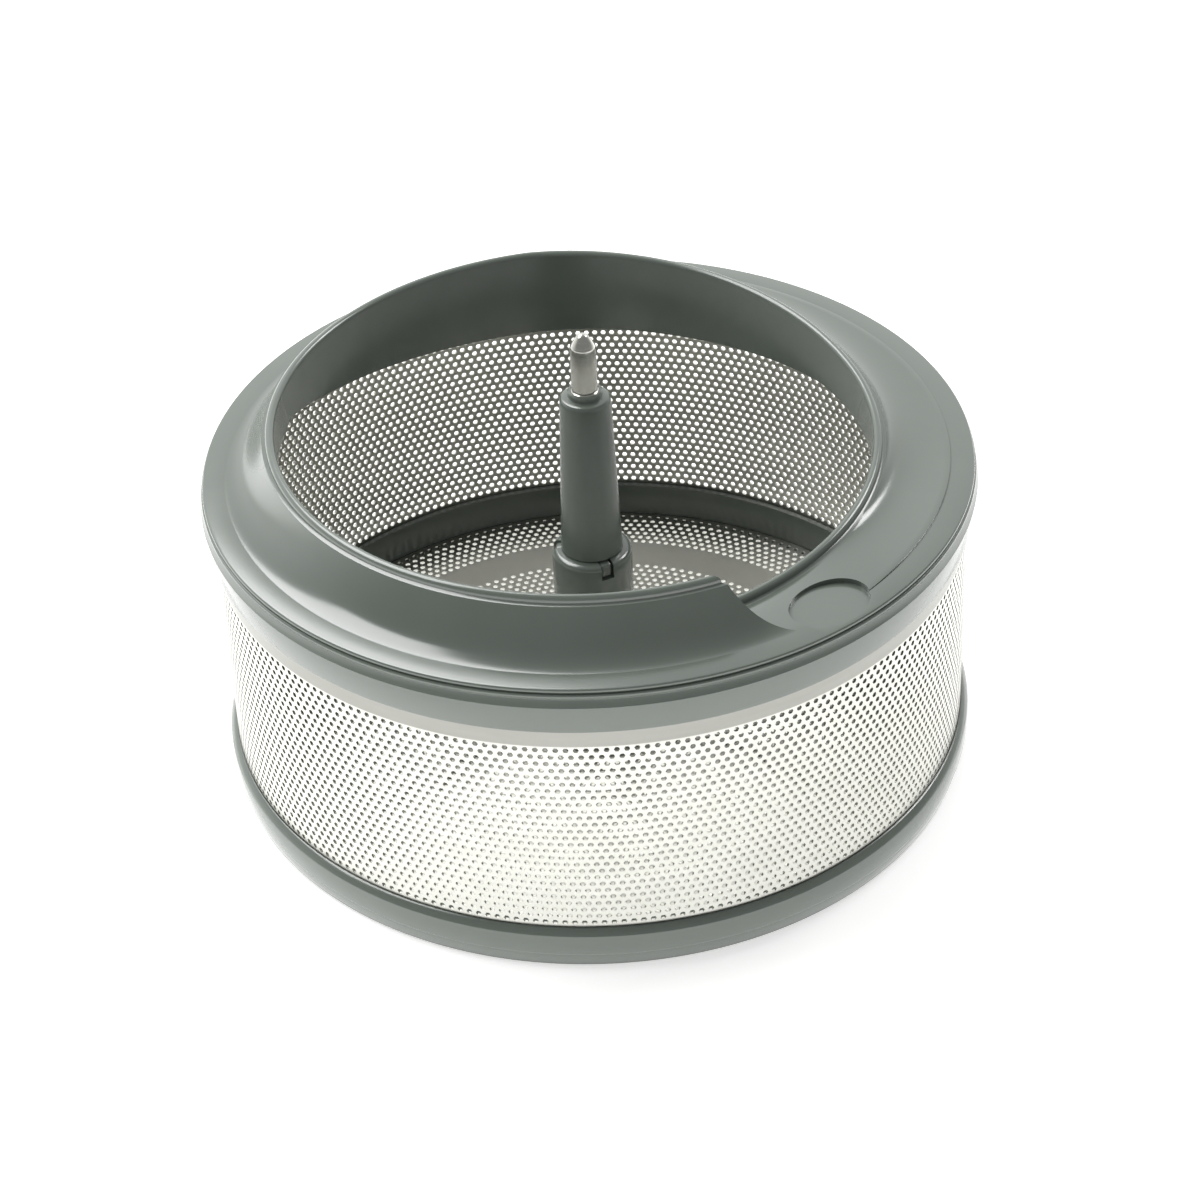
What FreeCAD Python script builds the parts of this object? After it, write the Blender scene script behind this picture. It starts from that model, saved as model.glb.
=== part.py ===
import FreeCAD, Part
import math
import os

# Juicer mesh screen: a steel basket between a moulded base and a spiral moulded collar.
# Millimetres, +Z up, origin at the centre of the underside, which stands on the table.
# Azimuths are in degrees about Z, from +X towards +Y.

Vector = FreeCAD.Vector
ORIGIN = Vector(0, 0, 0)
UP = Vector(0, 0, 1)

# Perforated steel sheet
sheet_thickness = 0.5
wall_screen_radius = 73.2
screen_fit = 0.1
groove_depth = 4.5
bottom_margin = 1.0
top_margin = 4.1
wall_rows = 3
wall_holes_per_row = 14
wall_hole_side = 9.8
floor_hole_side = 6.5
floor_field_inner = 25.0
floor_inner_holes_per_bay = [3, 2]
floor_outer_holes_per_bay = 5
floor_band_inset = 8.3
floor_band_width = 6.0

# Base frame
base_wall = 1.4
base_height = 9.0
base_edge_drop = 1.2
base_foot_height = 3.2
base_foot_taper = 0.7
base_lip = 1.3
spider_thickness = 1.2
ledge_width = 4.0
floor_fit = 0.2
spoke_count = 3
spoke_width = 6.0
spoke_azimuth = 90.0
hub_radius = 14.0

# Centre column of the base frame
column_radius = 7.9
column_height = 43.5
column_edge_chamfer = 0.6
socket_radius = 5.4
socket_depth = 28.0
slot_count = 3
slot_azimuth = -68.0
slot_width = 2.6
slot_depth = 3.2

# Spindle post and pin
post_radius = 5.4
post_height = 35.0
tenon_radius = 4.5
tenon_length = 10.0
tenon_fit = 0.1
lug_reach = 0.5
lug_drop = 0.4
boss_radius = 3.3
boss_height = 1.4
pin_radius = 2.5
pin_shank_step = 0.2
pin_projection = 12.3
pin_depth = 14.0
pin_fit = 0.05
pin_tip_radius = 1.2
pin_tip_length = 2.6

# Collar
wall_exposed_height = 46.6
skirt_wall = 0.9
skirt_height = 6.0
lip_drop = 1.8
lip_reach = 0.8
flange_thickness = 2.0
collar_wall = 1.8
collar_skirt_depth = 8.4
foot_inset = 3.6
foot_width = 1.4
foot_overlap = 2.2
foot_tuck = 0.5
rim_bevel_width = 0.6
rim_bevel_drop = 1.1
rim_solid = 4.4
slope_hollow = 0.07
high_rim_rise = 10.4
high_rim_inset = 10.2
low_rim_rise = 0.2
low_rim_inset = 14.9
ramp_start = -62.0
ramp_end = 100.0
ramp_ease = 0.1
lead_in = 48.0
widening_start = 20.0
step_rim_azimuth = -70.4
step_foot_azimuth = -59.3
step_overrun = 25.0
section_spacing = 15.0
pad_azimuth = -51.0
pad_offset = 2.7
pad_length = 16.6
pad_width = 12.4
pad_depth = 0.8

# Heights that follow from the sizes above
floor_bottom = spider_thickness
floor_top = floor_bottom + sheet_thickness
skirt_bottom = base_height + wall_exposed_height
screen_bottom = base_height - groove_depth
lip_bottom = skirt_bottom + skirt_height
flange_bottom = lip_bottom + lip_drop
screen_top = flange_bottom
foot_bottom = flange_bottom + foot_tuck
flange_top = flange_bottom + flange_thickness
high_rim = flange_top + high_rim_rise
low_rim = flange_top + low_rim_rise
collar_bottom = flange_top - collar_skirt_depth
post_top = column_height + post_height
boss_top = post_top + boss_height
pin_seat = post_top - pin_depth
pin_top = boss_top + pin_projection

# Radii that follow from the sizes above
groove_outer = wall_screen_radius + screen_fit
groove_inner = wall_screen_radius - sheet_thickness - screen_fit
base_radius = groove_outer + base_wall
base_inner = groove_inner - base_lip
ledge_inner = base_inner - ledge_width
floor_radius = base_inner - floor_fit
floor_band_outer = ledge_inner - floor_band_inset
floor_band_inner = floor_band_outer - floor_band_width
skirt_radius = groove_outer + skirt_wall
flange_radius = skirt_radius + lip_reach
foot_radius = groove_outer - foot_inset
high_rim_inner = foot_radius - high_rim_inset
low_rim_inner = foot_radius - low_rim_inset
pin_shank_radius = pin_radius + pin_shank_step


def place(radius, azimuth, z=0.0):
    angle = math.radians(azimuth)
    return Vector(radius * math.cos(angle), radius * math.sin(angle), z)


def outline(azimuth, points):
    """Closed wire through (radius, z) points in the half plane at an azimuth."""
    corners = [place(radius, azimuth, z) for radius, z in points]
    return Part.makePolygon(corners + corners[:1])


def turned(wire, angle=360.0):
    return Part.Face(wire).revolve(ORIGIN, UP, angle)


def tube(outer, inner, bottom, top):
    height = top - bottom
    base = Vector(0, 0, bottom)
    return Part.makeCylinder(outer, height, base).cut(Part.makeCylinder(inner, height, base))


def around(shape, azimuth):
    copy = shape.copy()
    copy.rotate(ORIGIN, UP, azimuth)
    return copy


def wall_screen():
    """Steel cylinder with staggered rows of holes; its edges sit in the base and the collar's skirt."""
    sheet = tube(wall_screen_radius, wall_screen_radius - sheet_thickness, screen_bottom, screen_top)
    lowest = base_height + bottom_margin
    row_pitch = (skirt_bottom - top_margin - lowest) / wall_rows
    pitch_angle = 360.0 / wall_holes_per_row
    punch = Part.makeBox(3 * sheet_thickness, wall_hole_side, wall_hole_side,
                         Vector(wall_screen_radius - 2 * sheet_thickness, -wall_hole_side / 2, 0))
    punches = []
    for row in range(wall_rows):
        middle = lowest + (row + 0.5) * row_pitch
        lifted = punch.translated(Vector(0, 0, middle - wall_hole_side / 2))
        for i in range(wall_holes_per_row):
            punches.append(around(lifted, (i + 0.5 * (row % 2)) * pitch_angle))
    return sheet.cut(Part.makeCompound(punches))


def floor_screen():
    """Steel disc on the base frame, pierced on both sides of its plain band and clear of the spokes."""
    disc = tube(floor_radius, column_radius + screen_fit, floor_bottom, floor_top)
    punch = Part.makeBox(floor_hole_side, floor_hole_side, 3 * sheet_thickness,
                         Vector(-floor_hole_side / 2, -floor_hole_side / 2, floor_bottom - sheet_thickness))
    ring_pitch = (floor_band_inner - floor_field_inner) / len(floor_inner_holes_per_bay)
    rings = [((floor_band_outer + ledge_inner) / 2, floor_outer_holes_per_bay)]
    for row, per_bay in enumerate(floor_inner_holes_per_bay):
        rings.append((floor_band_inner - (row + 0.5) * ring_pitch, per_bay))
    punches = []
    for radius, per_bay in rings:
        count = per_bay * spoke_count
        moved = punch.translated(Vector(radius, 0, 0))
        for i in range(count):
            punches.append(around(moved, spoke_azimuth + (i + 0.5) * 360.0 / count))
    return disc.cut(Part.makeCompound(punches))


def base_ring():
    """Outer ring of the base: tapered foot, groove for the wall screen, ledge for the floor."""
    return turned(outline(0, [
        (ledge_inner, 0),
        (base_radius - base_foot_taper, 0),
        (base_radius, base_foot_height),
        (base_radius, base_height - base_edge_drop),
        (groove_outer, base_height),
        (groove_outer, screen_bottom),
        (groove_inner, screen_bottom),
        (groove_inner, base_height),
        (base_inner, base_height),
        (base_inner, floor_bottom),
        (ledge_inner, floor_bottom)]))


def column():
    """Hollow column: a socket from below, a hole for the post's tenon and three slots on top."""
    body = turned(outline(0, [
        (socket_radius, 0),
        (hub_radius, 0),
        (hub_radius, spider_thickness),
        (column_radius, spider_thickness),
        (column_radius, column_height - column_edge_chamfer),
        (column_radius - column_edge_chamfer, column_height),
        (tenon_radius + tenon_fit, column_height),
        (tenon_radius + tenon_fit, column_height - tenon_length),
        (0, column_height - tenon_length),
        (0, socket_depth),
        (socket_radius, socket_depth)]))
    slot = Part.makeBox(2 * column_radius, slot_width, 2 * slot_depth,
                        Vector(0, -slot_width / 2, column_height - slot_depth))
    for i in range(slot_count):
        body = body.cut(around(slot, slot_azimuth + i * 360.0 / slot_count))
    return body


def base_frame():
    """Base moulding: the ring, the spokes under the floor and the centre column."""
    spoke_inner = (socket_radius + hub_radius) / 2
    spoke_outer = base_inner - ledge_width / 2
    spoke = Part.makeBox(spoke_outer - spoke_inner, spoke_width, spider_thickness,
                         Vector(spoke_inner, -spoke_width / 2, 0))
    spokes = [around(spoke, spoke_azimuth + i * 360.0 / spoke_count) for i in range(spoke_count)]
    return base_ring().fuse([column()] + spokes).removeSplitter()


def spindle_post():
    """Straight post: tenon and lugs below, a boss round the pin on top."""
    body = turned(outline(0, [
        (0, column_height - tenon_length),
        (tenon_radius, column_height - tenon_length),
        (tenon_radius, column_height),
        (post_radius, column_height),
        (post_radius, post_top),
        (boss_radius, post_top),
        (boss_radius, boss_top),
        (pin_shank_radius + pin_fit, boss_top),
        (pin_shank_radius + pin_fit, pin_seat),
        (0, pin_seat)]))
    lug_width = slot_width - 2 * tenon_fit
    lug = Part.makeBox(column_radius - lug_reach, lug_width, slot_depth - lug_drop,
                       Vector(0, -lug_width / 2, column_height - slot_depth))
    lugs = [around(lug, slot_azimuth + i * 360.0 / slot_count) for i in range(slot_count)]
    return body.fuse(lugs).removeSplitter()


def spindle_pin():
    """Straight pin with a tapered tip, and a thicker shank that is held in the post."""
    return turned(outline(0, [
        (0, pin_seat),
        (pin_shank_radius, pin_seat),
        (pin_shank_radius, boss_top),
        (pin_radius, boss_top),
        (pin_radius, pin_top - pin_tip_length),
        (pin_tip_radius, pin_top),
        (0, pin_top)]))


def between(a, b, share):
    return a + (b - a) * share


def eased(share):
    """Smooth step from 0 to 1, level at both ends."""
    share = min(max(share, 0.0), 1.0)
    return share * share * (3 - 2 * share)


def rim_inner(azimuth):
    """Inner radius of the low rim: it leaves the high wall, runs round and widens back to it."""
    if azimuth < widening_start:
        share = 1 - eased((azimuth - ramp_start + lead_in) / lead_in)
        return between(low_rim_inner, high_rim_inner + foot_tuck, share)
    share = eased((azimuth - widening_start) / (ramp_end - widening_start))
    return between(low_rim_inner, high_rim_inner, share)


def rim_height(azimuth):
    share = max((azimuth - ramp_start) / (ramp_end - ramp_start), 0.0)
    return between(low_rim, high_rim, (1 + ramp_ease) * share - ramp_ease * share ** 3)


def wall_over(inner, rim, foot):
    """Upper side of the collar's wall, from its inner edge over the rim to the flange."""
    crest = inner + collar_wall
    shoulder = (crest + rim_bevel_width, rim - rim_bevel_drop)
    base = (foot + foot_tuck, flange_top - foot_tuck)
    sink = slope_hollow * (shoulder[1] - base[1])
    knee = (between(shoulder[0], base[0], 0.5) - sink, between(shoulder[1], base[1], 0.5) - sink)
    return [(inner, rim), (crest, rim), shoulder, knee, base, (foot + foot_tuck, foot_bottom)]


def wall_section(azimuth, inner, rim, foot):
    """Section of the wall's shell, with its inner skirt left long to be trimmed level."""
    below = collar_bottom - collar_wall
    under = [(foot - foot_width, foot_bottom), (inner + collar_wall, rim - rim_solid)]
    return outline(azimuth, [(inner, below)] + wall_over(inner, rim, foot) + under
                   + [(inner + collar_wall, below)])


def flange():
    """Flat flange, reaching in under the foot of the wall, with a lip and a skirt round the wall screen."""
    inner = foot_radius - foot_overlap
    return turned(outline(0, [
        (inner, flange_bottom),
        (groove_outer, flange_bottom),
        (groove_outer, skirt_bottom),
        (skirt_radius, skirt_bottom),
        (skirt_radius, lip_bottom),
        (flange_radius, lip_bottom),
        (flange_radius, flange_top),
        (inner, flange_top)]))


def step_slab(offset, depth):
    """Upright slab beside the line across the collar where the high wall stops."""
    rim_point = place(high_rim_inner, step_rim_azimuth)
    foot_point = place(foot_radius, step_foot_azimuth)
    along = (foot_point - rim_point).normalize()
    behind = Vector(-along.y, along.x, 0)
    low = Vector(0, 0, collar_bottom - 2 * collar_wall)
    start = rim_point - along * collar_wall + behind * offset + low
    end = foot_point + along * step_overrun + behind * offset + low
    across = behind * depth
    face = Part.Face(Part.makePolygon([start, end, end + across, start + across, start]))
    return face.extrude(Vector(0, 0, high_rim - low.z + collar_wall))


def high_wall():
    """Wall of full height, turned about the axis and closed by an end wall at the step."""
    sweep = 360.0 + step_foot_azimuth + lead_in / 4 - ramp_end
    shell = turned(wall_section(ramp_end, high_rim_inner, high_rim, foot_radius), sweep)
    filled = wall_over(high_rim_inner, high_rim, foot_radius) + [(high_rim_inner, foot_bottom)]
    end_wall = turned(outline(ramp_end, filled), sweep).common(step_slab(-collar_wall, collar_wall))
    return shell.cut(step_slab(0, step_overrun)).fuse(end_wall)


def ramp():
    """Wall that climbs from the flange to full height, lofted through radial sections."""
    start = ramp_start - lead_in
    count = math.ceil((ramp_end - start) / section_spacing)
    sections = []
    for i in range(count + 1):
        azimuth = between(start, ramp_end, i / count)
        foot = between(foot_radius - foot_tuck, foot_radius, i / count)
        sections.append(wall_section(azimuth, rim_inner(azimuth), rim_height(azimuth), foot))
    return Part.makeLoft(sections, True, False)


def pad_pocket():
    """Oval pocket across the slope and the flange, just past the step."""
    oval = Part.Ellipse(ORIGIN, pad_length / 2, pad_width / 2).toShape()
    pocket = Part.Face(Part.Wire(oval)).extrude(Vector(0, 0, high_rim_rise))
    pocket = around(pocket, pad_azimuth + 90)
    return pocket.translated(place(foot_radius - pad_offset, pad_azimuth, flange_top - pad_depth))


def collar():
    """Spiral collar: flange, high wall and ramp in one moulding, with the oval pocket."""
    body = flange().fuse([high_wall(), ramp()]).cut(pad_pocket())
    trim_height = 3 * collar_wall
    trim = Part.makeCylinder(foot_radius - foot_overlap, trim_height, Vector(0, 0, collar_bottom - trim_height))
    return body.cut(trim).removeSplitter()


def save(name, shape):
    solids = shape.Solids
    assert shape.isValid() and len(solids) == 1, (name, shape.isValid(), len(solids))
    solids[0].exportStep("parts/" + name + ".step")
    print(name, "volume", round(shape.Volume, 1), "mm3")


os.makedirs("parts", exist_ok=True)
save("collar", collar())
save("wall_screen", wall_screen())
save("base_frame", base_frame())
save("floor_screen", floor_screen())
save("spindle_post", spindle_post())
save("spindle_pin", spindle_pin())
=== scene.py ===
# %% [markdown]
# A juicer's mesh screen is a steel basket held between two dark mouldings. The upper one is the
# collar, a wall that climbs in a spiral and drops back at one step. The lower one is the base, with a
# column that carries a post and a steel pin. This lesson dresses the plain solids: fine holes,
# rounded rims, a tapered post, and finishes that catch the light.

# %% Load the solids
import math
import bmesh
import bpy
from mathutils import Matrix, Vector


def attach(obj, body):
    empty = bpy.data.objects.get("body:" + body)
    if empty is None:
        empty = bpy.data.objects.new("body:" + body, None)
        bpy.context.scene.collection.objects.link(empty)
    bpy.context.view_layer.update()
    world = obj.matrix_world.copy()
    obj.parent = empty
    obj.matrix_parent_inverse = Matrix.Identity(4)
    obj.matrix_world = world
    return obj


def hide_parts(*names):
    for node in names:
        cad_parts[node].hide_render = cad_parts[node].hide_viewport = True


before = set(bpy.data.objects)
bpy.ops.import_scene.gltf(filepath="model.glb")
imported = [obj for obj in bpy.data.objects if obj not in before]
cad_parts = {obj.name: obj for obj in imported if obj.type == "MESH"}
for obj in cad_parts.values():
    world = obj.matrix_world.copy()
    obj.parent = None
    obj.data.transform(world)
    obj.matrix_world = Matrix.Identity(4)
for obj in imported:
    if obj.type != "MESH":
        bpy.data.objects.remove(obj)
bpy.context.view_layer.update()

MM = 0.001
scene = bpy.context.scene

# %% [markdown]
# The mouldings are a polished dark grey plastic with a slight green in it. A real moulding is never
# one flat colour: its gloss wanders a little where the tool's polish was uneven. Two noises on object
# coordinates give that, a broad one for tone and gloss and a fine one for a faint ripple.

# %% Plastic
def new_material(name):
    material = bpy.data.materials.new(name)
    material.use_nodes = True
    nodes = material.node_tree.nodes
    return material, nodes, material.node_tree.links, nodes["Principled BSDF"]


def noise(nodes, links, scale, stretch=(1, 1, 1)):
    """Noise on object coordinates, stretched along the axes."""
    coords = nodes.new("ShaderNodeTexCoord")
    mapping = nodes.new("ShaderNodeMapping")
    mapping.inputs["Scale"].default_value = stretch
    texture = nodes.new("ShaderNodeTexNoise")
    texture.inputs["Scale"].default_value = scale
    texture.inputs["Detail"].default_value = 3.0
    links.new(coords.outputs["Object"], mapping.inputs["Vector"])
    links.new(mapping.outputs["Vector"], texture.inputs["Vector"])
    return texture.outputs["Fac"]


def ramp(nodes, links, value, low, high):
    """Colour ramp from low to high as a value goes from 0 to 1."""
    node = nodes.new("ShaderNodeValToRGB")
    node.color_ramp.elements[0].color = (*low, 1)
    node.color_ramp.elements[1].color = (*high, 1)
    links.new(value, node.inputs["Fac"])
    return node.outputs["Color"]


def spread(nodes, links, value, low, high):
    """Value from 0 to 1 mapped to a range."""
    node = nodes.new("ShaderNodeMapRange")
    node.inputs["To Min"].default_value = low
    node.inputs["To Max"].default_value = high
    links.new(value, node.inputs["Value"])
    return node.outputs["Result"]


def ripple(nodes, links, value, bsdf, strength, distance):
    node = nodes.new("ShaderNodeBump")
    node.inputs["Strength"].default_value = strength
    node.inputs["Distance"].default_value = distance
    links.new(value, node.inputs["Height"])
    links.new(node.outputs["Normal"], bsdf.inputs["Normal"])


def plastic(name, dark, light, gloss):
    material, nodes, links, bsdf = new_material(name)
    bsdf.inputs["Specular IOR Level"].default_value = 0.9
    broad = noise(nodes, links, 55)
    links.new(ramp(nodes, links, broad, dark, light), bsdf.inputs["Base Color"])
    links.new(spread(nodes, links, broad, *gloss), bsdf.inputs["Roughness"])
    ripple(nodes, links, noise(nodes, links, 400), bsdf, 0.02, 0.0002)
    return material


dark_plastic = plastic("dark plastic", (0.096, 0.115, 0.098), (0.117, 0.138, 0.119), (0.15, 0.22))
print("material", dark_plastic.name)

# %% [markdown]
# The basket is bright stainless sheet. Rolling leaves fine lines in it, so the roughness varies in
# streaks. The plain strip above the holes has its colour darkened: painted shade for the shadow under
# the skirt. The pin is turned and ground from bar, which leaves finer marks round it and more shine.

# %% Steel
def steel(name, dark, light, gloss, scale, stretch):
    material, nodes, links, bsdf = new_material(name)
    bsdf.inputs["Metallic"].default_value = 1.0
    streaks = noise(nodes, links, scale, stretch)
    links.new(ramp(nodes, links, streaks, dark, light), bsdf.inputs["Base Color"])
    links.new(spread(nodes, links, streaks, *gloss), bsdf.inputs["Roughness"])
    ripple(nodes, links, streaks, bsdf, 0.04, 0.0001)
    return material


def paint_shade_above(material, level, share):
    """Darken the colour above a height: painted shade for the skirt's shadow on the plain strip with no
    holes.
    """
    nodes, links = material.node_tree.nodes, material.node_tree.links
    base = nodes["Principled BSDF"].inputs["Base Color"]
    coords = nodes.new("ShaderNodeTexCoord")
    parts = nodes.new("ShaderNodeSeparateXYZ")
    links.new(coords.outputs["Object"], parts.inputs["Vector"])
    step = nodes.new("ShaderNodeMapRange")
    step.inputs["From Min"].default_value = (level - 0.1) * MM
    step.inputs["From Max"].default_value = (level + 0.1) * MM
    step.inputs["To Min"].default_value = 1.0
    step.inputs["To Max"].default_value = share
    links.new(parts.outputs["Z"], step.inputs["Value"])
    tone = nodes.new("ShaderNodeVectorMath")
    tone.operation = "SCALE"
    links.new(base.links[0].from_socket, tone.inputs[0])
    links.new(step.outputs["Result"], tone.inputs["Scale"])
    links.new(tone.outputs["Vector"], base)


sheet_steel = steel("steel sheet", (0.50, 0.50, 0.46), (0.60, 0.60, 0.56), (0.24, 0.38), 90, (1, 1, 7))
# Painted shade: the steel's colour is darkened above this height, standing for the skirt's shadow on the
# plain strip.
plain_from, strip_shade_share = 51.7, 0.50
paint_shade_above(sheet_steel, plain_from, strip_shade_share)
pin_steel = steel("pin steel", (0.46, 0.46, 0.42), (0.56, 0.56, 0.52), (0.14, 0.26), 300, (1, 1, 9))
print("materials", sheet_steel.name, "and", pin_steel.name)

# %% [markdown]
# Most of the part is turned: a profile goes once round the axis. The spin operator does that. The
# collar's wall changes as it goes round, so it is swept instead: one ring of vertices is extruded
# from station to station, and each new ring is set to the section at its own station.

# %% Turning and sweeping
def at(radius, azimuth, z):
    """Point in metres from a radius and height in millimetres and an azimuth in degrees."""
    angle = math.radians(azimuth)
    return Vector((radius * math.cos(angle), radius * math.sin(angle), z)) * MM


def turned(bm, profile, steps):
    """A closed (radius, z) profile turned once about the axis."""
    verts = [bm.verts.new(at(radius, 0, z)) for radius, z in profile]
    edges = [bm.edges.new((verts[i - 1], verts[i])) for i in range(len(verts))]
    bmesh.ops.spin(bm, geom=verts + edges, axis=(0, 0, 1), cent=(0, 0, 0),
                   angle=2 * math.pi, steps=steps, use_merge=True)
    bmesh.ops.remove_doubles(bm, verts=bm.verts, dist=1e-7)
    bmesh.ops.delete(bm, geom=[e for e in bm.edges if e.is_wire], context="EDGES")


def new_verts(grown):
    """The vertices among what an extrusion made."""
    return [g for g in grown["geom"] if isinstance(g, bmesh.types.BMVert)]


def second_skin(bm):
    """Copy all the faces, joined to them round the edges, and return the copy's vertices."""
    return new_verts(bmesh.ops.extrude_face_region(bm, geom=bm.faces[:], use_keep_orig=True))


def swept(bm, stations):
    """Closed rings of points, one for each station, joined in order and capped at both ends."""
    ring = bmesh.ops.create_circle(bm, segments=len(stations[0]), radius=1.0)["verts"]
    for vert, point in zip(ring, stations[0]):
        vert.co = point
    edges = list({e for v in ring for e in v.link_edges})
    bmesh.ops.contextual_create(bm, geom=edges)
    for points in stations[1:]:
        grown = bmesh.ops.extrude_edge_only(bm, edges=edges)
        fresh = set(new_verts(grown))
        edges = [g for g in grown["geom"] if isinstance(g, bmesh.types.BMEdge)
                 and g.verts[0] in fresh and g.verts[1] in fresh]
        ring = [e.other_vert(vert) for vert in ring for e in vert.link_edges if e.other_vert(vert) in fresh]
        for vert, point in zip(ring, points):
            vert.co = point
    bmesh.ops.contextual_create(bm, geom=edges)


def piece(bm, name, node, material, sharp=32):
    """The bmesh as a finished object that stands for a node."""
    bmesh.ops.recalc_face_normals(bm, faces=bm.faces)
    mesh = bpy.data.meshes.new(name)
    bm.to_mesh(mesh)
    bm.free()
    mesh.materials.append(material)
    mesh.shade_smooth()
    mesh.set_sharp_from_angle(angle=math.radians(sharp))
    made = bpy.data.objects.new(name, mesh)
    scene.collection.objects.link(made)
    if node:
        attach(made, "root")
        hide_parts(node)
    mesh.calc_loop_triangles()
    print(name, len(mesh.loop_triangles), "triangles")
    return made


# %% [markdown]
# The collar's flange is the part that rests on the basket's edge. Below its rounded edge run a groove
# and a small bead, and the lip under them leans out, so it looks up into the dark and reads as a dark
# line. The skirt below hides the edge of the steel.

# %% Flange and skirt
flange_top, lip_bottom, skirt_bottom = 65.4, 61.6, 55.6
flange_radius, skirt_radius, skirt_inner = 75.0, 74.2, 73.3
foot_radius, foot_overlap, foot_bottom = 69.7, 1.0, 63.9
flange_bottom = 63.4

flange_profile = [
    (foot_radius - foot_overlap, flange_bottom), (foot_radius - foot_overlap, flange_top),
    (73.7, flange_top), (74.05, flange_top - 0.08), (74.25, flange_top - 0.3),
    (74.3, flange_top - 0.6), (74.0, flange_top - 0.75), (74.0, flange_top - 1.0),
    (74.4, flange_top - 1.1), (74.58, flange_top - 1.3), (74.62, flange_top - 1.6),
    (74.5, flange_top - 1.9), (74.35, flange_top - 2.05), (74.4, flange_top - 2.25),
    (flange_radius - 0.12, lip_bottom + 0.45), (flange_radius, lip_bottom + 0.2),
    (flange_radius - 0.1, lip_bottom + 0.05), (flange_radius - 0.4, lip_bottom),
    (skirt_radius, lip_bottom), (skirt_radius, lip_bottom - 0.3), (skirt_radius, skirt_bottom + 0.35),
    (skirt_radius - 0.12, skirt_bottom + 0.1), (skirt_radius - 0.35, skirt_bottom),
    (skirt_inner, skirt_bottom), (skirt_inner, flange_bottom)]
bm = bmesh.new()
turned(bm, flange_profile, 288)
flange = piece(bm, "flange", None, dark_plastic)

# %% [markdown]
# The spiral wall starts low inside the high wall's end, climbs through the right and the back, runs
# level round the left and the front, and stops at the step. A section is the bead on the rim, a
# narrow groove beside it, a hollow slope down to the flange, and the underside. On the ramp the slope
# dips into a shallow trough and ends in a crease. An inner skirt hangs from the rim, deepest at the
# back and again over the ramp's start. Pairs of azimuths say where each change begins and ends. The
# same formulas as in the solids set the rim's radius and height.

# %% Spiral wall
high_rim, high_inner = 75.8, 59.5
low_rim, low_inner = 65.6, 54.8
ramp_start, ramp_end, lead_in, widening_start = -62.0, 100.0, 48.0, 20.0
step_rim, step_foot, slant_run = -70.4 + 360, -59.3 + 360, 30.0
wall, foot_tuck, foot_width, plate_depth, trough = 1.8, 0.5, 1.4, 4.4, 1.0
skirt_low, skirt_side, skirt_high, skirt_front = 57.0, 61.0, 67.0, 60.7
skirt_right, skirt_rise, skirt_dip = (75.0, 30.0), (90.0, 165.0), (225.0, 247.0)
slope_change, crease_start = (60.0, 140.0), (-55.0, -35.0)
trough_start, trough_end = (-45.0, -5.0), (10.0, 70.0)
slope_steps, wall_steps, end_wall = 18, 268, 1.7


def between(a, b, share):
    return a + (b - a) * share


def along(azimuth, start, end):
    """How far an azimuth has come from start to end, from 0 to 1."""
    return min(max((azimuth - start) / (end - start), 0.0), 1.0)


def eased(azimuth, start, end):
    """The same, with a soft start and a soft end."""
    share = along(azimuth, start, end)
    return share * share * (3 - 2 * share)


def rim_inner(azimuth):
    if azimuth < widening_start:
        share = 1 - eased(azimuth, ramp_start - lead_in, ramp_start)
        return between(low_inner, high_inner + foot_tuck, share)
    return between(low_inner, high_inner, eased(azimuth, widening_start, ramp_end))


def rim_height(azimuth):
    share = along(azimuth, ramp_start, ramp_end)
    return between(low_rim, high_rim, 1.1 * share - 0.1 * share ** 3)


def skirt_end(azimuth):
    """Height of the inner skirt's edge, lowest at the back and low again over the ramp's start."""
    if azimuth > skirt_dip[0]:
        return between(skirt_high, skirt_front, eased(azimuth, *skirt_dip))
    if azimuth > skirt_rise[0]:
        return between(skirt_low, skirt_high, along(azimuth, *skirt_rise) ** 2.5)
    return between(skirt_low, skirt_side, along(azimuth, *skirt_right) ** 1.6)


def curve(a, b, c, d, count):
    """Points along a cubic from a to d, with b and c as its handles."""
    points = []
    for i in range(count + 1):
        t = i / count
        u = 1 - t
        points.append(tuple(u ** 3 * a[k] + 3 * u * u * t * b[k] + 3 * u * t * t * c[k] + t ** 3 * d[k]
                            for k in (0, 1)))
    return points


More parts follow.
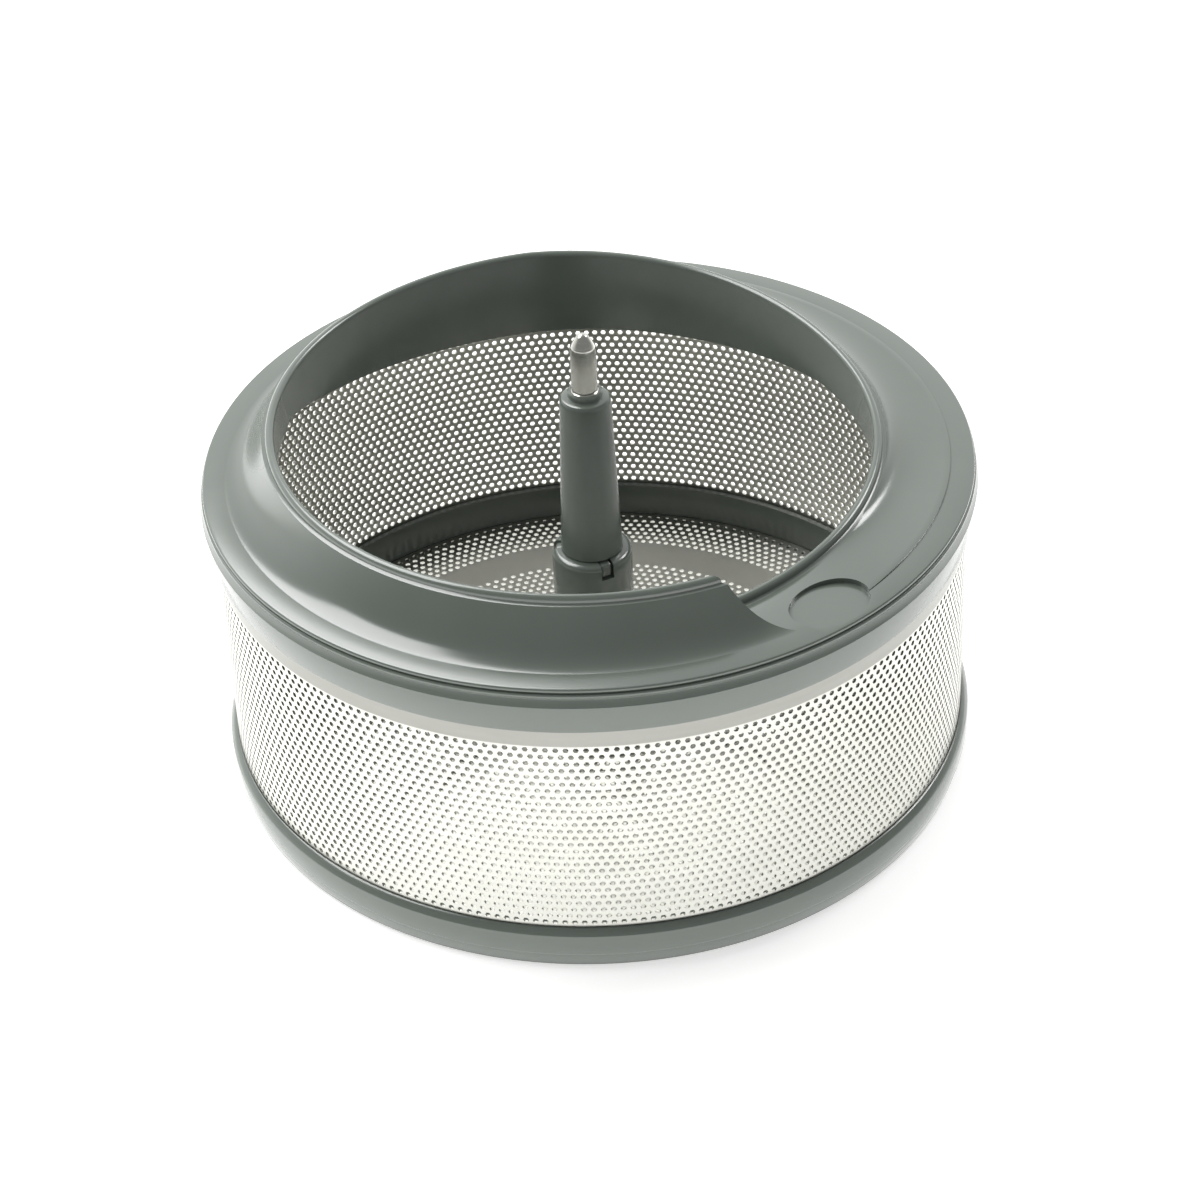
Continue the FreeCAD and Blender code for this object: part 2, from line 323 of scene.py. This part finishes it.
def section(azimuth, filled=False):
    """Closed (radius, z) section of the wall, from the inner skirt over the rim to the flange."""
    inner, rim = rim_inner(azimuth), rim_height(azimuth)
    foot = between(foot_radius - foot_tuck, foot_radius, along(azimuth, ramp_start - lead_in, ramp_end))
    half = wall / 2
    bead = [(inner + half - half * math.cos(math.radians(a)), rim - half + half * math.sin(math.radians(a)))
            for a in range(0, 181, 20)]
    groove = [(inner + wall + 0.05, rim - half - 0.35), (inner + wall + 0.3, rim - half - 0.5)]
    top = (inner + wall + 0.75, rim - half - 0.55)
    low_side = 1 - eased(azimuth, *slope_change)
    crease = min(low_side, eased(azimuth, *crease_start))
    hollow = trough * eased(azimuth, *trough_start) * (1 - eased(azimuth, *trough_end))
    end = (foot, flange_top + between(0.02, 0.3, crease))
    run, drop = end[0] - top[0], top[1] - end[1]
    near_rim = (top[0] + between(0.22, 0.10, low_side) * run,
                top[1] - between(0.44, 0.60, low_side) * drop - hollow)
    near_foot = (end[0] - between(0.46, 0.60, low_side) * run, end[1] + 0.06 * drop - hollow)
    slope = curve(top, near_rim, near_foot, end, slope_steps)
    toe_radius = foot + between(0.6, 0.15, crease)
    toe = [(toe_radius, flange_top + between(-0.03, 0.25, crease)), (toe_radius, flange_top - 0.3),
           (foot, foot_bottom)]
    ceiling, lowest = rim - plate_depth, skirt_end(azimuth)
    if filled:
        ceiling, lowest = foot_bottom + 0.05, foot_bottom
    under = [(foot - foot_width, foot_bottom), (inner + wall, ceiling), (inner + wall, lowest)]
    return [(inner, lowest)] + bead + groove + slope + toe + under


def wall_ring(azimuth, filled=False):
    """The section set upright at its azimuth, turned aslant towards the step."""
    slant = eased(azimuth, step_rim - slant_run, step_rim) * (step_foot - step_rim)
    points = []
    for radius, z in section(azimuth, filled):
        share = (radius - high_inner) / (foot_radius - high_inner)
        points.append(at(radius, azimuth + (slant * share if azimuth > 180 else 0), z))
    return points


bm = bmesh.new()
first, last = ramp_start - lead_in, step_rim - end_wall
stations = [wall_ring(between(first, last, i / wall_steps)) for i in range(wall_steps + 1)]
stations += [wall_ring(last, True), wall_ring(step_rim, True)]
swept(bm, stations)
spiral = piece(bm, "spiral", None, dark_plastic)

# %% [markdown]
# The mould makes flange and wall as one piece, with a shallow oval beside the step. Here two boolean
# modifiers do the same: one joins the two shapes and the other cuts the oval with a short elliptic
# plug, made from a circle that is stretched and extruded.

# %% Join the collar
pad_azimuth, pad_radius, pad_length, pad_width, pad_depth = -51.0, 67.0, 16.6, 12.4, 0.85
plug_height = 6.0
bm = bmesh.new()
oval = bmesh.ops.create_circle(bm, cap_ends=True, segments=64, radius=1.0)["verts"]
bmesh.ops.scale(bm, vec=(pad_width / 2 * MM, pad_length / 2 * MM, 1), verts=oval)
bmesh.ops.rotate(bm, matrix=Matrix.Rotation(math.radians(pad_azimuth), 3, "Z"), verts=oval)
bmesh.ops.translate(bm, vec=at(pad_radius, pad_azimuth, flange_top - pad_depth), verts=oval)
bmesh.ops.translate(bm, vec=(0, 0, plug_height * MM), verts=second_skin(bm))
plug = piece(bm, "plug", None, dark_plastic)


def boolean(target, other, operation):
    modifier = target.modifiers.new(operation.lower(), "BOOLEAN")
    modifier.operation = operation
    modifier.solver = "EXACT"
    modifier.use_self = True
    modifier.object = other


boolean(flange, spiral, "UNION")
boolean(flange, plug, "DIFFERENCE")
graph = bpy.context.evaluated_depsgraph_get()
bm = bmesh.new()
bm.from_object(flange, graph)
for used in (flange, spiral, plug):
    bpy.data.objects.remove(used)
piece(bm, "collar_moulding", "collar", dark_plastic, 26)

# %% [markdown]
# The basket's wall is punched with thousands of round holes in staggered rows. A grid of triangles
# has a vertex wherever a hole belongs. Bevelling those vertices leaves a small hexagon on each, and
# deleting the hexagons leaves the holes. Extruding the sheet inwards gives it the thickness that the
# edge of every hole shows.

# %% Perforation
def lattice(bm, columns, rows, place):
    """A closed band of triangles, each row staggered by half a step, set by place(turn, row)."""
    made = bmesh.ops.create_grid(bm, x_segments=columns, y_segments=rows, size=1.0)["verts"]
    for vert in made:
        column = round((vert.co.x + 1) / 2 * columns)
        row = round((vert.co.y + 1) / 2 * rows)
        vert.co = place((column + 0.5 * (row % 2)) / columns, row)
    faces = list({f for v in made for f in v.link_faces})
    bmesh.ops.triangulate(bm, faces=faces, quad_method="SHORT_EDGE")
    bmesh.ops.remove_doubles(bm, verts=made, dist=1e-6)


def punch(bm, radius):
    """Holes at all the vertices that don't lie on an edge of the sheet."""
    inside = [v for v in bm.verts if not v.is_boundary and len(v.link_edges) == 6]
    cut = bmesh.ops.bevel(bm, geom=inside, offset=radius * MM, offset_type="OFFSET", affect="VERTICES",
                          segments=1, profile=0.5, material=-1)["faces"]
    bmesh.ops.delete(bm, geom=cut, context="FACES_ONLY")
    return len(inside)


sheet_radius, sheet_thickness = 73.2, 0.5
screen_bottom, screen_top = 4.5, 63.4
first_row, row_pitch, rows, columns = 10.1, 1.57, 26, 252
hole_radius = 0.57

bm = bmesh.new()
lattice(bm, columns, rows + 2,
        lambda turn, row: at(sheet_radius, 360 * turn, first_row + (row - 1) * row_pitch))
holes = punch(bm, hole_radius)
lowest_row, highest_row = first_row - row_pitch, first_row + (rows + 1) * row_pitch
for level, height in ((lowest_row, screen_bottom), (highest_row, screen_top)):
    edge = [e for e in bm.edges if e.is_boundary
            and all(abs(v.co.z - level * MM) < 1e-5 for v in e.verts)]
    for vert in new_verts(bmesh.ops.extrude_edge_only(bm, edges=edge)):
        vert.co.z = height * MM
inner = 1 - sheet_thickness / sheet_radius
bmesh.ops.scale(bm, vec=(inner, inner, 1), verts=second_skin(bm))
print("holes in the wall", holes)
piece(bm, "wall_sheet", "wall_screen", sheet_steel)

# %% [markdown]
# The floor is a disc of the same sheet. Its holes run in rings, and a ring needs fewer of them the
# nearer it is to the centre, so the disc is made in bands, each with its own count. The innermost
# band and one nearer the edge are left plain.

# %% Floor
floor_bottom, floor_top = 1.2, 1.7
floor_inner, floor_outer = 8.0, 71.1
hole_pitch = 1.82
plain_bands = [(floor_inner, 12.0), (53.0, 59.0)]
pierced_bands = [(12.0, 15.2), (15.2, 20.0), (20.0, 26.3), (26.3, 33.0), (33.0, 42.0), (42.0, 53.0),
                 (59.0, floor_outer)]

bm = bmesh.new()
for low, high in plain_bands:
    turned(bm, [(low, floor_bottom), (high, floor_bottom), (high, floor_top), (low, floor_top)], 180)
holes = 0
for low, high in pierced_bands:
    band = bmesh.new()
    steps = max(2, round((high - low) / row_pitch))
    around = round(math.pi * (low + high) / hole_pitch)
    lattice(band, around, steps,
            lambda turn, row: at(between(low, high, row / steps), 360 * turn, floor_top))
    holes += punch(band, hole_radius)
    bmesh.ops.translate(band, vec=(0, 0, (floor_bottom - floor_top) * MM), verts=second_skin(band))
    scratch = bpy.data.meshes.new("band")
    band.to_mesh(scratch)
    band.free()
    bm.from_mesh(scratch)
    bpy.data.meshes.remove(scratch)
print("holes in the floor", holes)
piece(bm, "floor_sheet", "floor_screen", sheet_steel)

# %% [markdown]
# The base is one moulding: a ring that grips the basket's lower edge, a ledge and spokes under the
# floor, and the column in the middle. Its foot tapers in, which makes the lighter band along the
# bottom. The column's top is cut by three slots, so it is swept as three arcs with square ends.

# %% Base
base_radius, base_height = 74.7, 9.0
ledge_inner, base_inner = 69.6, 71.3
column_radius, column_height, slot_depth, slot_width = 7.9, 43.5, 3.2, 2.6
slot_azimuths = [-68.0, 52.0, 172.0]
socket_radius, socket_depth, hub_radius = 5.4, 28.0, 14.0
tenon_radius, tenon_bottom, column_rounding, arc_steps = 4.6, 33.5, 1.1, 32
spoke_inner, spoke_width, spoke_overlap = 9.7, 6.0, 2.0

base_profile = [
    (ledge_inner, 0), (73.5, 0), (73.75, 0.12), (73.9, 0.4), (74.5, 2.9), (74.5, 3.15),
    (base_radius - 0.05, 3.3), (base_radius, 3.5),
    (base_radius, base_height - 1.4), (base_radius - 0.1, base_height - 1.15),
    (73.7, base_height - 0.1), (73.4, base_height), (73.3, base_height), (73.3, screen_bottom),
    (72.6, screen_bottom), (72.6, base_height), (71.7, base_height), (71.4, base_height - 0.1),
    (base_inner, base_height - 0.4), (base_inner, floor_bottom), (ledge_inner, floor_bottom)]
slot_floor = column_height - slot_depth
column_profile = [
    (socket_radius, 0), (hub_radius, 0), (hub_radius, floor_bottom), (column_radius, floor_bottom),
    (column_radius, slot_floor), (tenon_radius, slot_floor), (tenon_radius, tenon_bottom),
    (0, tenon_bottom), (0, socket_depth), (socket_radius, socket_depth)]
bm = bmesh.new()
turned(bm, base_profile, 288)
turned(bm, column_profile, 96)

rounding = [(column_radius - column_rounding * (1 - math.sin(a)),
             column_height - column_rounding * (1 - math.cos(a)))
            for a in (math.radians(15 * i) for i in range(7))]
rim_profile = [(tenon_radius, slot_floor), (tenon_radius, column_height)]
rim_profile += rounding + [(column_radius, slot_floor)]
third = 120.0
for azimuth in slot_azimuths:
    arcs = []
    for i in range(arc_steps + 1):
        points = []
        for radius, z in rim_profile:
            half = math.degrees(math.asin(slot_width / 2 / radius))
            points.append(at(radius, between(azimuth + half, azimuth + third - half, i / arc_steps), z))
        arcs.append(points)
    swept(bm, arcs)
spoke_outer = base_inner - spoke_overlap
spoke_length, spoke_middle = spoke_outer - spoke_inner, (spoke_outer + spoke_inner) / 2
for i in range(3):
    spoke = bmesh.ops.create_cube(bm, size=1.0)["verts"]
    bmesh.ops.scale(bm, vec=Vector((spoke_length, spoke_width, floor_bottom)) * MM, verts=spoke)
    bmesh.ops.translate(bm, vec=Vector((spoke_middle, 0, floor_bottom / 2)) * MM, verts=spoke)
    bmesh.ops.rotate(bm, matrix=Matrix.Rotation(math.radians(90 + third * i), 3, "Z"), verts=spoke)
piece(bm, "base_moulding", "base_frame", dark_plastic)

# %% [markdown]
# The post tapers upwards, because a long moulded core has to be drawn out of its tool. Its top edge is
# rounded, and a low boss holds the pin. Three lugs below sit in the column's slots and keep the post
# from turning.

# %% Post and pin
post_top, boss_top, pin_top, pin_seat = 78.5, 79.9, 92.2, 64.5
pin_radius, shank_radius, shank_clearance, tenon_clearance = 2.5, 2.7, 0.05, 0.1
lug_length, lug_width, lug_height, lug_rounding, lug_radius = 5.2, 2.4, 3.0, 0.6, 4.6
tenon, bore = tenon_radius - tenon_clearance, shank_radius + shank_clearance
post_profile = [
    (0, tenon_bottom), (tenon, tenon_bottom), (tenon, column_height), (5.9, column_height),
    (6.1, column_height + 0.25), (6.05, column_height + 1.2),
    (4.95, post_top - 1.0), (4.85, post_top - 0.5), (4.55, post_top - 0.13),
    (4.1, post_top), (3.4, post_top), (3.3, post_top + 0.15), (3.3, boss_top - 0.25), (3.1, boss_top),
    (bore, boss_top), (bore, pin_seat), (0, pin_seat)]
bm = bmesh.new()
turned(bm, post_profile, 96)
for azimuth in slot_azimuths:
    lug = bmesh.ops.create_cube(bm, size=1.0)["verts"]
    bmesh.ops.scale(bm, vec=Vector((lug_length, lug_width, lug_height)) * MM, verts=lug)
    edges = list({e for v in lug for e in v.link_edges})
    lug = bmesh.ops.bevel(bm, geom=edges, offset=lug_rounding * MM, segments=4, profile=0.5,
                          affect="EDGES", material=-1)["verts"]
    bmesh.ops.translate(bm, vec=Vector((lug_radius, 0, slot_floor + lug_height / 2)) * MM, verts=lug)
    bmesh.ops.rotate(bm, matrix=Matrix.Rotation(math.radians(azimuth), 3, "Z"), verts=lug)
piece(bm, "post_moulding", "spindle_post", dark_plastic)

pin_profile = [
    (0, pin_seat), (shank_radius, pin_seat), (shank_radius, boss_top - 0.05), (pin_radius, boss_top + 0.1),
    (pin_radius, pin_top - 2.9), (pin_radius - 0.06, pin_top - 2.5), (1.3, pin_top - 0.75),
    (1.05, pin_top - 0.35), (0.65, pin_top - 0.1), (0.25, pin_top), (0, pin_top)]
bm = bmesh.new()
turned(bm, pin_profile, 72)
piece(bm, "pin_steel_rod", "spindle_pin", pin_steel, 40)

# %% [markdown]
# The part stands on a light table in a white tent, as small goods are often shown. The table glows
# evenly and lights the upright faces from below. The tent's back is bright and its front, where the
# camera stands, is dark, so the polished slopes stay dark. Two soft lamps make the highlights. The
# steel is close to plain white in places, and stronger lamps would turn more of it white.

# %% Table, tent and lamps
ground_size, ground_height, ground_glow = 3.0, -0.0002, 0.55
tent_axis, tent_dark, tent_bright = (-0.25, 1, -0.45), 0.33, 1.4
lamp_aim = Vector((0, 0, 0.06))

paper, nodes, links, bsdf = new_material("paper")
links.new(ramp(nodes, links, noise(nodes, links, 30), (0.80, 0.80, 0.79), (0.84, 0.84, 0.83)),
          bsdf.inputs["Base Color"])
bsdf.inputs["Roughness"].default_value = 0.9
bsdf.inputs["Emission Color"].default_value = (1, 1, 1, 1)
bsdf.inputs["Emission Strength"].default_value = ground_glow
bm = bmesh.new()
sheet = bmesh.ops.create_grid(bm, x_segments=1, y_segments=1, size=ground_size)["verts"]
bmesh.ops.translate(bm, vec=(0, 0, ground_height), verts=sheet)
ground = piece(bm, "ground", None, paper)

world = bpy.data.worlds.new("tent")
scene.world = world
world.use_nodes = True
nodes, links = world.node_tree.nodes, world.node_tree.links
direction = nodes.new("ShaderNodeTexCoord")
facing = nodes.new("ShaderNodeVectorMath")
facing.operation = "DOT_PRODUCT"
facing.inputs[1].default_value = tent_axis
links.new(direction.outputs["Generated"], facing.inputs[0])
glow = nodes.new("ShaderNodeMapRange")
glow.interpolation_type = "SMOOTHSTEP"
glow.inputs["From Min"].default_value = -0.35
glow.inputs["From Max"].default_value = 0.75
glow.inputs["To Min"].default_value = tent_dark
glow.inputs["To Max"].default_value = tent_bright
links.new(facing.outputs["Value"], glow.inputs["Value"])
links.new(glow.outputs["Result"], nodes["Background"].inputs["Strength"])
nodes["Background"].inputs["Color"].default_value = (1, 1, 1, 1)


def lamp(name, direction, distance, size, power):
    """Area lamp set off in a direction from the collar and aimed at it."""
    light = bpy.data.lights.new(name, "AREA")
    light.shape = "RECTANGLE"
    light.size, light.size_y = size
    light.energy = power
    made = bpy.data.objects.new(name, light)
    away = Vector(direction).normalized()
    made.location = lamp_aim + away * distance
    made.rotation_euler = (-away).to_track_quat("-Z", "Y").to_euler()
    scene.collection.objects.link(made)
    return made


lamp("key", (-0.47, 0.30, 0.83), 0.8, (0.85, 0.42), 7.0)
lamp("right", (0.63, 0.42, 0.65), 0.9, (0.35, 0.25), 2.5)
table = lamp("table", (0, 0, -1), 0.0595, (1.2, 1.2), 2.3)
table.visible_camera = False

# %% [markdown]
# The camera looks down from the front with a long lens, rolled a little, so the part leans as it does
# in a picture taken by hand.

# %% Camera
distance, elevation, roll = 0.650, math.radians(38.5), math.radians(2.6)
camera = bpy.data.objects.new("camera", bpy.data.cameras.new("camera"))
scene.collection.objects.link(camera)
scene.camera = camera
camera.data.sensor_width = 36.0
camera.data.lens = 95.0
camera.location = (0, -distance * math.cos(elevation), distance * math.sin(elevation))
aim = Vector((0.0011, 0, 0.030))
look = (aim - camera.location).to_track_quat("-Z", "Y").to_matrix()
camera.rotation_euler = (look @ Matrix.Rotation(-roll, 3, "Z")).to_euler()
scene.view_settings.view_transform = "Standard"
print("camera at", [round(v, 3) for v in camera.location])
